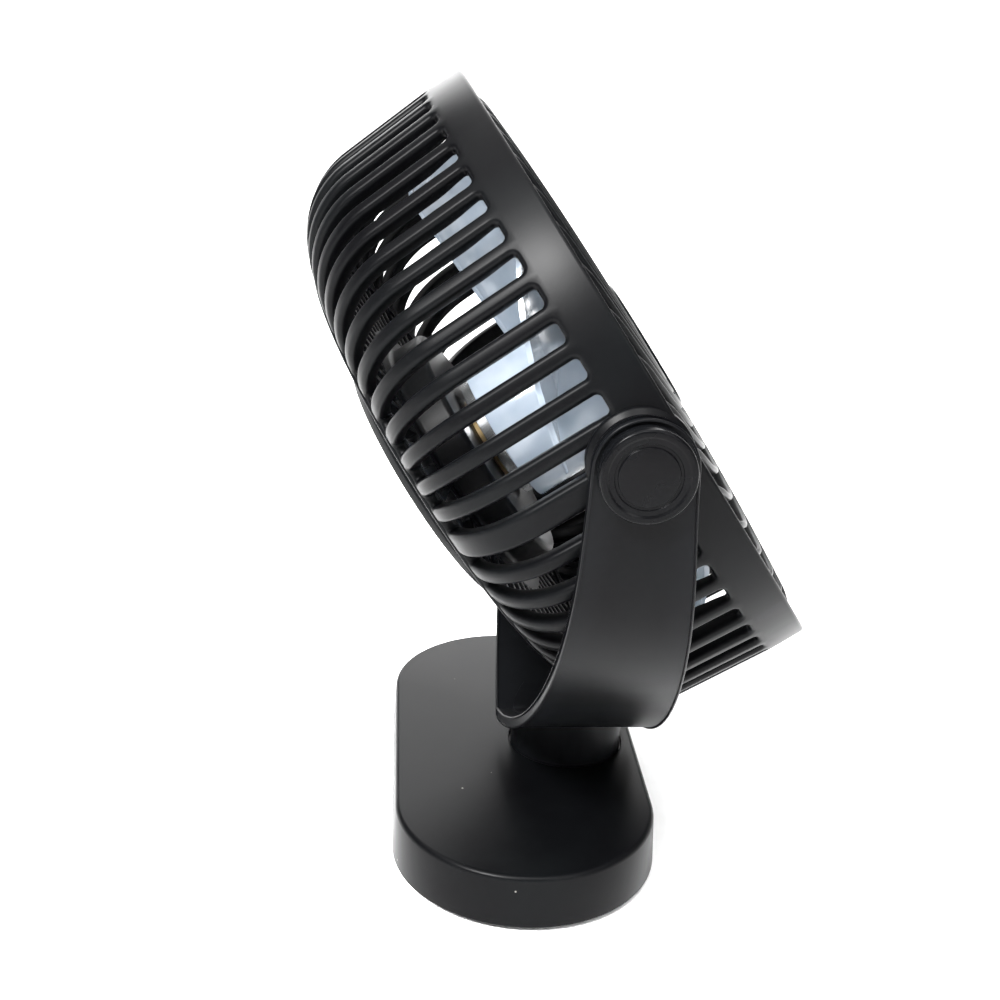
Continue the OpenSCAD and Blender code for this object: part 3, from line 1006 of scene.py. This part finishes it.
@dataclass
class GapCell:
    """One gap of the rear guard with half a rib on each side, drawn round the guard's skin."""

    skin: GuardSkin
    step: float
    rib: float
    front: float
    back: float
    front_edge: float
    back_edge: float
    front_round: float
    back_round: float
    edge: float
    depths: tuple[float, float] = (2.4, 2.4)
    sides: int = 26
    rings: list[list[tuple[float, float, float]]] = field(default_factory=list)

    def half_cell(self, run: float) -> float:
        """Half of the cell's width round the axis at a length along the skin."""
        return self.skin.at(run)[0] * math.radians(self.step / 2)

    def half_gap(self, run: float) -> float:
        """Half of the gap's width at a length along the skin."""
        return self.half_cell(run) - self.rib / 2

    def depth(self, run: float) -> float:
        """Depth of the rib, which grows behind the band."""
        share = min(max((run - self.front) / 8, 0), 1)
        return mixed(self.depths[0], self.depths[1], share * share * (3 - 2 * share))

    def half_loop(self) -> list[tuple[Flat, Flat, Flat]]:
        """Half of the gap's edge, with its normal and its partner on the cell's edge.

        Returns:
            Rows of (point, normal, partner), each as (distance round, length along).
        """
        rows: list[tuple[Flat, Flat, Flat]] = []
        start, end = self.front + self.front_round, self.back - self.back_round
        flat = self.half_gap(start) - self.front_round
        rows.append(((0.0, self.front), (0, -1), (0.0, self.front_edge)))
        arc = 8
        for k in range(arc):
            c, s = turned(90 * k / arc)
            point = (flat + self.front_round * s, start - self.front_round * c)
            if k <= arc // 2:
                partner = (self.half_cell(self.front_edge) * (k + 2) / (arc / 2 + 2), self.front_edge)
            else:
                run = mixed(self.front_edge, start, 2 * k / arc - 1)
                partner = (self.half_cell(run), run)
            rows.append((point, (s, -c), partner))
        for k in range(self.sides + 1):
            run = mixed(start, end, k / self.sides)
            rows.append(((self.half_gap(run), run), (1, 0), (self.half_cell(run), run)))
        flat = self.half_gap(end) - self.back_round
        corner = 4
        for k in range(1, corner + 1):
            c, s = turned(90 * k / corner)
            point = (flat + self.back_round * c, end + self.back_round * s)
            if k <= corner // 2:
                run = mixed(end, self.back_edge, 2 * k / corner)
                partner = (self.half_cell(run), run)
            else:
                partner = (self.half_cell(self.back_edge) * (1.5 - k / corner), self.back_edge)
            rows.append((point, (c, s), partner))
        rows.append(((0.0, self.back), (0, 1), (0.0, self.back_edge)))
        return rows

    def __post_init__(self) -> None:
        """Draws the rings of the cell, from its outer edge over the rib's rounding to its inner edge."""
        half = self.half_loop()
        loop = half + [((-p[0], p[1]), (-n[0], n[1]), (-q[0], q[1])) for p, n, q in reversed(half[1:-1])]
        rim = []
        for k in range(6):
            c, s = turned(90 * k / 5)
            rim.append((self.edge * (1 - s), self.edge * (1 - c), False))
        inner = self.edge * 0.45
        rim += [(0.0, inner, True), (inner * 0.3, inner * 0.3, True), (inner, 0.0, True)]
        self.rings.append([(q[0], q[1], 0.0) for _, _, q in loop])
        for inset, lift, inside in rim:
            ring = []
            for (x, run), (nx, nr), _ in loop:
                at = run + nr * inset
                deep = self.depth(at) - lift if inside else lift
                ring.append((x + nx * inset, at, deep))
            self.rings.append(ring)
        self.rings.append([(q[0], q[1], self.depth(q[1])) for _, _, q in loop])

    def place(self, angle: float, round_axis: float, run: float, deep: float) -> Vector:
        """A point of the guard.

        Args:
            angle: The gap's own angle.
            round_axis: Distance round the axis from the gap's middle.
            run: Length along the skin.
            deep: Distance in from the skin.

        Returns:
            The point.
        """
        radius, height, normal = self.skin.at(run)
        c, s = turned(angle + math.degrees(round_axis / radius))
        radius -= normal.x * deep
        return Vector((radius * c, radius * s, height - normal.y * deep))

    def add(self, draft: Draft, angle: float, rim: Sequence[Flat] = ()) -> None:
        """Adds the cell at an angle.

        Args:
            draft: The mesh to add it to.
            angle: The gap's angle.
            rim: Section of the rim ahead of the cell, from its outer side to its inner side.
        """
        rows = [[self.place(angle, x, run, deep) for x, run, deep in ring] for ring in self.rings]
        draft.grid(rows, ring=True)
        for edge, outline in ((self.front_edge, rim), (self.back_edge, ())):
            chosen = [k for k, (_, run, _) in enumerate(self.rings[0]) if abs(run - edge) < 1e-6]
            chosen.sort(key=lambda k: self.rings[0][k][0])
            first = [rows[0][k] for k in chosen]
            last = [rows[-1][k] for k in chosen]
            between = []
            for radius, height in outline:
                ways = [Vector((p.x, p.y)).normalized() * radius for p in first]
                between.append([Vector((w.x, w.y, height)) for w in ways])
            draft.grid([first, *between, last])

    def add_panel(self, draft: Draft, start: float, end: float, rim: Sequence[Flat]) -> None:
        """Adds a piece of solid wall between two cells.

        Args:
            draft: The mesh to add it to.
            start: Angle where it begins.
            end: Angle where it ends.
            rim: Section of the rim ahead of it.
        """
        runs = sorted({round(run, 5) for x, run, _ in self.rings[0] if x > 0})
        steps = max(2, round((end - start) / 1.5))
        angles = [mixed(start, end, k / steps) for k in range(steps + 1)]
        outside = [[self.place(a, 0, run, 0) for a in angles] for run in reversed(runs)]
        around = [[Vector((*(r * v for v in turned(a)), z)) for a in angles] for r, z in rim]
        inside = [[self.place(a, 0, run, self.depth(run)) for a in angles] for run in runs]
        draft.grid(outside + around + inside, tube=True)


@dataclass
class RearGuard:
    """Front band, long swept-back ribs, fine ribs and motor cup, all one moulding."""

    place: Matrix
    skin: GuardSkin = field(default_factory=GuardSkin)
    rib: float = 3.4
    wall: float = 2.4
    rib_depth: float = 3.2
    gap_front: float = 9.6
    gap_end_r: float = 57.5
    above: int = 15
    below: int = 15
    pivot_rise: float = 4.0
    pivot_back: float = 9.6
    pivot_gap: float = 4.0
    fine_count: int = 48
    fine_rib: float = 1.8
    cup_r: float = 30.0
    cup_front: float = -40.0

    def rim_section(self) -> list[Flat]:
        """Section of the front rim, from the band's outside to its inside."""
        radius, inner = self.skin.head_r, self.skin.head_r - self.wall
        return rounded(
            [
                Corner(radius, -7.0),
                Corner(radius, 0.0, 0.7),
                Corner(inner, 0.0, 0.5),
                Corner(inner, -7.0),
            ],
            closed=False,
        )

    def long_cell(self, step: float) -> GapCell:
        """A cell of the long gaps, this many degrees wide."""
        end = self.skin.run_at_radius(self.gap_end_r)
        return GapCell(
            skin=self.skin,
            step=step,
            rib=self.rib,
            front=self.gap_front,
            back=end,
            front_edge=7.6,
            back_edge=self.skin.run_at_radius(56.0),
            front_round=1.1,
            back_round=0.8,
            edge=1.15,
            depths=(self.wall, self.rib_depth),
        )

    def add_long_ribs(self, draft: Draft) -> None:
        """Adds the long ribs and the band, on both sides."""
        pivot = math.degrees(math.asin(self.pivot_rise / self.skin.head_r))
        up_step = (90 - pivot - self.pivot_gap) / (self.above - 1)
        down_step = (90 + pivot - self.pivot_gap) / (self.below - 0.5)
        upper, lower = self.long_cell(up_step), self.long_cell(down_step)
        rim = self.rim_section()
        for i in range(self.above):
            angle = pivot + self.pivot_gap + i * up_step
            for mirrored in {angle, 180 - angle}:
                upper.add(draft, mirrored, rim)
        for i in range(self.below):
            angle = pivot - self.pivot_gap - i * down_step
            for mirrored in (angle, 180 - angle):
                lower.add(draft, mirrored, rim)
        low = pivot - self.pivot_gap + down_step / 2
        high = pivot + self.pivot_gap - up_step / 2
        upper.add_panel(draft, low, high, rim)
        upper.add_panel(draft, 180 - high, 180 - low, rim)

    def add_fine_ribs(self, draft: Draft) -> None:
        """Adds the fine ribs round the motor cup."""
        cell = GapCell(
            skin=self.skin,
            step=360 / self.fine_count,
            rib=self.fine_rib,
            front=self.skin.run_at_radius(53.5),
            back=self.skin.run_at_radius(36.0),
            front_edge=self.skin.run_at_radius(54.8),
            back_edge=self.skin.run_at_radius(35.0),
            front_round=0.6,
            back_round=0.5,
            edge=0.5,
            depths=(2.6, 2.6),
            sides=6,
        )
        for i in range(self.fine_count):
            cell.add(draft, 360 * i / self.fine_count)

    def add_rings(self, draft: Draft) -> None:
        """Adds the ring between the two rows of gaps, and the motor cup with its flange."""
        back = -self.skin.depth
        draft.lathe(
            rounded(
                [
                    Corner(57.0, back + 3.4),
                    Corner(57.0, back - 0.1, 0.7),
                    Corner(53.9, back - 0.3, 0.5),
                    Corner(53.9, back + 3.2),
                ]
            ),
            steps=144,
        )
        cup = self.cup_r
        draft.lathe(
            rounded(
                [
                    Corner(0, self.cup_front),
                    Corner(cup, self.cup_front, 1.4),
                    Corner(cup, back + 2.7, 1.2),
                    Corner(35.8, back + 2.7),
                    Corner(35.8, back - 0.2, 0.4),
                    Corner(cup - 2, back - 0.2),
                    Corner(cup - 2, self.cup_front - 2),
                    Corner(0, self.cup_front - 2),
                ],
                closed=False,
            ),
            steps=144,
        )

    def add_pads(self, draft: Draft) -> None:
        """Adds the round pads and pins that the arms hold."""
        for side in Side:
            draft.lathe_x(
                rounded(
                    [
                        Corner(0, 72.6),
                        Corner(10.4, 72.6),
                        Corner(10.4, 74.2, 0.8),
                        Corner(9.2, 75.2, 0.4),
                        Corner(9.2, 76.6, 0.5),
                        Corner(4.0, 76.6),
                        Corner(4.0, 80.2, 0.4),
                        Corner(0, 80.2),
                    ],
                    closed=False,
                ),
                (self.pivot_rise, -self.pivot_back),
                side,
            )

    def build(self) -> None:
        """Makes the guard."""
        draft = Draft()
        self.add_long_ribs(draft)
        self.add_fine_ribs(draft)
        self.add_rings(draft)
        self.add_pads(draft)
        draft.make("rear_guard_moulding", "head", "abs_black", self.place, replaces=["rear_guard"])


@dataclass
class FrontGuard:
    """The domed front grille of swept ribs, with its rim and middle disc."""

    place: Matrix
    ribs: int = 42
    rib_wide: float = 1.5
    rib_high: float = 2.7
    sweep_c: float = 42.0
    sweep_r: float = 48.0
    dome: float = 3.0
    dome_from: float = 18.0
    dome_curve: float = 0.00092
    drop_from: float = 65.0
    drop_curve: float = 0.06
    disc_r: float = 19.0
    rim_r: float = 72.5

    def crown(self, radius: float) -> float:
        """Height of the ribs at a radius: a shallow dome that drops to the rim ring near its edge."""
        dome = self.dome_curve * max(radius - self.dome_from, 0) ** 2
        drop = self.drop_curve * max(radius - self.drop_from, 0) ** 2
        return self.dome - dome - drop

    def rib_section(self) -> list[Flat]:
        """Section of a rib as (across, height below the crown), with a rounded top."""
        half, deep = self.rib_wide / 2, self.rib_high
        return rounded(
            [
                Corner(-half * 0.8, -deep, 0.3),
                Corner(half * 0.8, -deep, 0.3),
                Corner(half, 0, 0.65),
                Corner(-half, 0, 0.65),
            ],
            steps=4,
        )

    def add_rib(self, draft: Draft, angle: float) -> None:
        """Adds one rib.

        Args:
            draft: The mesh to add it to.
            angle: The angle at which its sweep begins.
        """
        reach = [self.disc_r - 1, self.rim_r - 1.5]
        turns = []
        for radius in reach:
            share = (radius**2 - self.sweep_c**2 - self.sweep_r**2) / (2 * self.sweep_c * self.sweep_r)
            turns.append(math.degrees(math.acos(share)))
        spin = Matrix.Rotation(math.radians(angle), 4, "Z")
        rows = []
        steps = 28
        for k in range(steps + 1):
            c, s = turned(mixed(turns[0], turns[1], k / steps))
            row = []
            for across, below in self.rib_section():
                x, y = self.sweep_c + (self.sweep_r + across) * c, (self.sweep_r + across) * s
                row.append(spin @ Vector((x, y, self.crown(math.hypot(x, y)) + below)))
            rows.append(row)
        draft.grid(rows, ring=True)
        draft.lid(rows[0])
        draft.lid(rows[-1])

    def build(self) -> None:
        """Makes the grille and its middle disc."""
        grille = Draft()
        for i in range(self.ribs):
            self.add_rib(grille, 360 * i / self.ribs)
        rim = self.rim_r
        grille.lathe(
            rounded(
                [
                    Corner(rim, -6.8, 0.3),
                    Corner(rim, -2.3, 0.5),
                    Corner(rim - 2.6, -2.2, 0.5),
                    Corner(rim - 2.6, -6.8, 0.3),
                ]
            ),
            steps=168,
        )
        grille.lathe(
            rounded(
                [
                    Corner(0, self.dome - 2.8),
                    Corner(self.disc_r, self.dome - 2.8, 0.4),
                    Corner(self.disc_r, self.dome + 0.05, 0.6),
                    Corner(0, self.dome + 0.2),
                ],
                closed=False,
            ),
            steps=96,
        )
        grille.make("front_grille", "head", "abs_black", self.place, replaces=["front_guard"])
        disc = Draft()
        trim = self.disc_r - 3
        disc.lathe(
            rounded(
                [
                    Corner(0, self.dome - 0.5),
                    Corner(trim, self.dome - 0.5),
                    Corner(trim, self.dome + 0.6, 0.4),
                    Corner(trim - 2, self.dome + 0.75, 2.0),
                    Corner(0, self.dome + 0.4),
                ],
                closed=False,
            ),
            steps=96,
        )
        disc.make("front_trim", "head", "abs_black", self.place, CAP_ABS, replaces=["front_disc"])


@dataclass
class Impeller:
    """Five wide twisted blades round a cup-shaped hub."""

    place: Matrix
    blades: int = 5
    hub_r: float = 17.5
    hub_bore: float = 15.25
    hub_back: float = -36.0
    hub_front: float = -10.0
    tip_r: float = 63.0
    thick: float = 1.5
    blade_front: float = -6.5
    blade_back: float = -23.5

    def blade_point(self, radius: float, share: float, side: float) -> Vector:
        """A point of a blade.

        Args:
            radius: Distance from the axis.
            share: Place across the blade, from 0 at the front edge to 1 at the back edge.
            side: -1 for the back face or 1 for the front face, and less near the edges.

        Returns:
            The point.
        """
        out = max(radius - self.hub_r, 0) / (self.tip_r - self.hub_r)
        half = 0.36 * 360 / self.blades
        trail = 0.25 * (radius - 12) - half
        lead = 0.12 * (radius - 12) + half
        front = mixed(-9.5, self.blade_front, out)
        back = mixed(-22.0, self.blade_back, out**0.6)
        camber = 2.2 * math.sin(math.pi * share)
        height = mixed(front, back, share) - camber * mixed(0.6, 1.0, out)
        tip = self.tip_r - 3.5 * (2 * share - 1) ** 4 * out**3
        c, s = turned(mixed(trail, lead, share))
        wall = self.thick * mixed(1.25, 0.8, out) / 2
        reach = min(radius, tip)
        return Vector((reach * c, reach * s, height + side * wall))

    def add_blade(self, draft: Draft, angle: float) -> None:
        """Adds one blade, with rounded edges.

        Args:
            draft: The mesh to add it to.
            angle: How far it is turned.
        """
        spin = Matrix.Rotation(math.radians(angle), 4, "Z")
        across, out = 20, 22
        ring: list[tuple[float, float]] = []
        ring += [(k / across, 1.0) for k in range(1, across)]
        ring += [(1.0, 0.55), (1.004, 0.0), (1.0, -0.55)]
        ring += [(1 - k / across, -1.0) for k in range(1, across)]
        ring += [(0.0, -0.55), (-0.004, 0.0), (0.0, 0.55)]
        rows = []
        for k in range(out + 1):
            radius = mixed(self.hub_r - 0.6, self.tip_r, k / out)
            rows.append([spin @ self.blade_point(radius, share, side) for share, side in ring])
        last = [spin @ self.blade_point(self.tip_r, share, side * 0.5) for share, side in ring]
        rows.append(last)
        draft.grid(rows, ring=True)
        draft.lid(rows[0])
        draft.lid(last)

    def build(self) -> None:
        """Makes the impeller."""
        draft = Draft()
        draft.lathe(
            rounded(
                [
                    Corner(0, self.hub_front),
                    Corner(self.hub_r - 0.3, self.hub_front, 1.6),
                    Corner(self.hub_r, self.hub_back, 0.4),
                    Corner(self.hub_bore, self.hub_back, 0.3),
                    Corner(self.hub_bore, -11.6),
                    Corner(3.4, -11.6, 0.6),
                    Corner(3.4, -20.0, 0.3),
                    Corner(0, -20.0),
                ],
                closed=False,
            ),
            steps=120,
        )
        for k in range(self.blades):
            self.add_blade(draft, 360 * k / self.blades)
        draft.make("fan_impeller", "rotor", "blade_grey", self.place, replaces=["impeller"])


# ---- Studio ----


@dataclass(frozen=True)
class Softbox:
    """A rectangular softbox that faces the fan, in metres and watts."""

    name: str
    place: tuple[float, float, float]
    size: Flat
    power: float

    def hang(self) -> None:
        """Adds the light."""
        data = bpy.data.lights.new(self.name, "AREA")
        data.shape = "RECTANGLE"
        data.size, data.size_y = self.size
        data.energy = self.power
        light = bpy.data.objects.new(self.name, data)
        light.location = self.place
        fan_middle = Vector((0, 0, 0.09))
        light.rotation_mode = "QUATERNION"
        light.rotation_quaternion = (fan_middle - Vector(self.place)).to_track_quat("-Z", "Y")
        bpy.context.scene.collection.objects.link(light)


SOFTBOXES = (
    Softbox("overhead", (-0.4, -0.05, 0.95), (0.3, 0.3), 4),
    Softbox("band", (-0.55, 0.45, 0.8), (0.25, 0.25), 34),
    Softbox("window", (-0.8, -0.5, 0.6), (0.3, 0.4), 4),
    Softbox("behind", (1.1, 0.0, 0.65), (0.9, 0.8), 12),
)


@dataclass
class Studio:
    """Camera, lights and floor."""

    lens: float = 49.69
    azimuth: float = 4.65
    elevation: float = 20.2
    roll: float = 2.5
    eye: tuple[float, float, float] = (-312.52, 32.49, 194.22)
    shift: float = 0.002
    room_glow: float = 0.25
    silk_power: float = 4.5
    silk_spread: float = 90.0

    def camera(self) -> None:
        """Places the camera."""
        c, s = turned(self.azimuth)
        ce, se = turned(self.elevation)
        ahead = Vector((c * ce, -s * ce, -se))
        right = ahead.cross(Vector((0, 0, 1))).normalized()
        up = right.cross(ahead)
        cr, sr = turned(self.roll)
        right, up = cr * right + sr * up, cr * up - sr * right
        data = bpy.data.cameras.new("camera")
        data.lens = self.lens
        data.shift_x = self.shift
        data.clip_start = 0.01
        camera = bpy.data.objects.new("camera", data)
        place = Matrix((right, up, -ahead)).transposed().to_4x4()
        place.translation = Vector(self.eye) * MM
        camera.matrix_world = place
        bpy.context.scene.collection.objects.link(camera)
        bpy.context.scene.camera = camera

    def silk(self) -> None:
        """Hangs a wide silk over the whole set, which lights the paper evenly."""
        data = bpy.data.lights.new("silk", "SUN")
        data.energy = self.silk_power
        data.angle = math.radians(self.silk_spread)
        bpy.context.scene.collection.objects.link(bpy.data.objects.new("silk", data))

    def floor(self) -> None:
        """Lays the background paper, which sweeps up far away on every side."""
        reach, bend, height = 9.0, 1.5, 2.5
        steps, sides = 6, 64
        turns = [turned(90 * k / steps) for k in range(steps + 1)]
        section = [(reach - bend + bend * s, bend - bend * c) for c, s in turns]
        section.append((reach, height))
        ways = [turned(360 * k / sides) for k in range(sides)]
        corners = [(radius * c, radius * s, z) for radius, z in section for c, s in ways]
        faces = [tuple(range(sides))]
        for row in range(len(section) - 1):
            low = row * sides
            for k in range(sides):
                after = (k + 1) % sides
                faces.append((low + k, low + after, low + sides + after, low + sides + k))
        mesh = bpy.data.meshes.new("paper")
        mesh.from_pydata(corners, [], faces)
        mesh.materials.append(PAPER.material())
        paper = bpy.data.objects.new("paper", mesh)
        just_under_the_pad = -0.0004
        paper.location = (0, 0, just_under_the_pad)
        bpy.context.scene.collection.objects.link(paper)

    def build(self) -> None:
        """Sets up the whole studio."""
        scene = bpy.context.scene
        scene.view_settings.view_transform = "Standard"
        world = bpy.data.worlds.new("studio")
        world.use_nodes = True
        scene.world = world
        glow = world.node_tree.nodes["Background"]
        glow.inputs["Color"].default_value = linear("#ffffff")
        glow.inputs["Strength"].default_value = self.room_glow
        self.camera()
        self.floor()
        self.silk()
        for box in SOFTBOXES:
            box.hang()


def dress_nodes() -> None:
    """Gives every CAD node its finish."""
    slots = {row["node"]: row["material_slot"] for row in frame["record"]["subparts"]}
    for node, piece in frame["nodes"].items():
        piece.data.materials.clear()
        piece.data.materials.append(FINISHES[slots[node]].material())


def main() -> None:
    """Builds the whole visual model."""
    place = head_place()
    dress_nodes()
    Base().build()
    Yoke().build()
    PivotCap("pivot_cap_left", Side.LEFT).build()
    PivotCap("pivot_cap_right", Side.RIGHT).build()
    RearGuard(place).build()
    FrontGuard(place).build()
    Impeller(place).build()
    soften("rear_cover", "head", "abs_black", 0.35)
    soften("switch_knob", "switch", "abs_black", 0.25)
    soften("rotor_can", "rotor", "chrome_steel", 0.25)
    Studio().build()


if __name__ == "__main__":
    logging.basicConfig(level=logging.INFO, format="%(name)s: %(message)s")
    main()
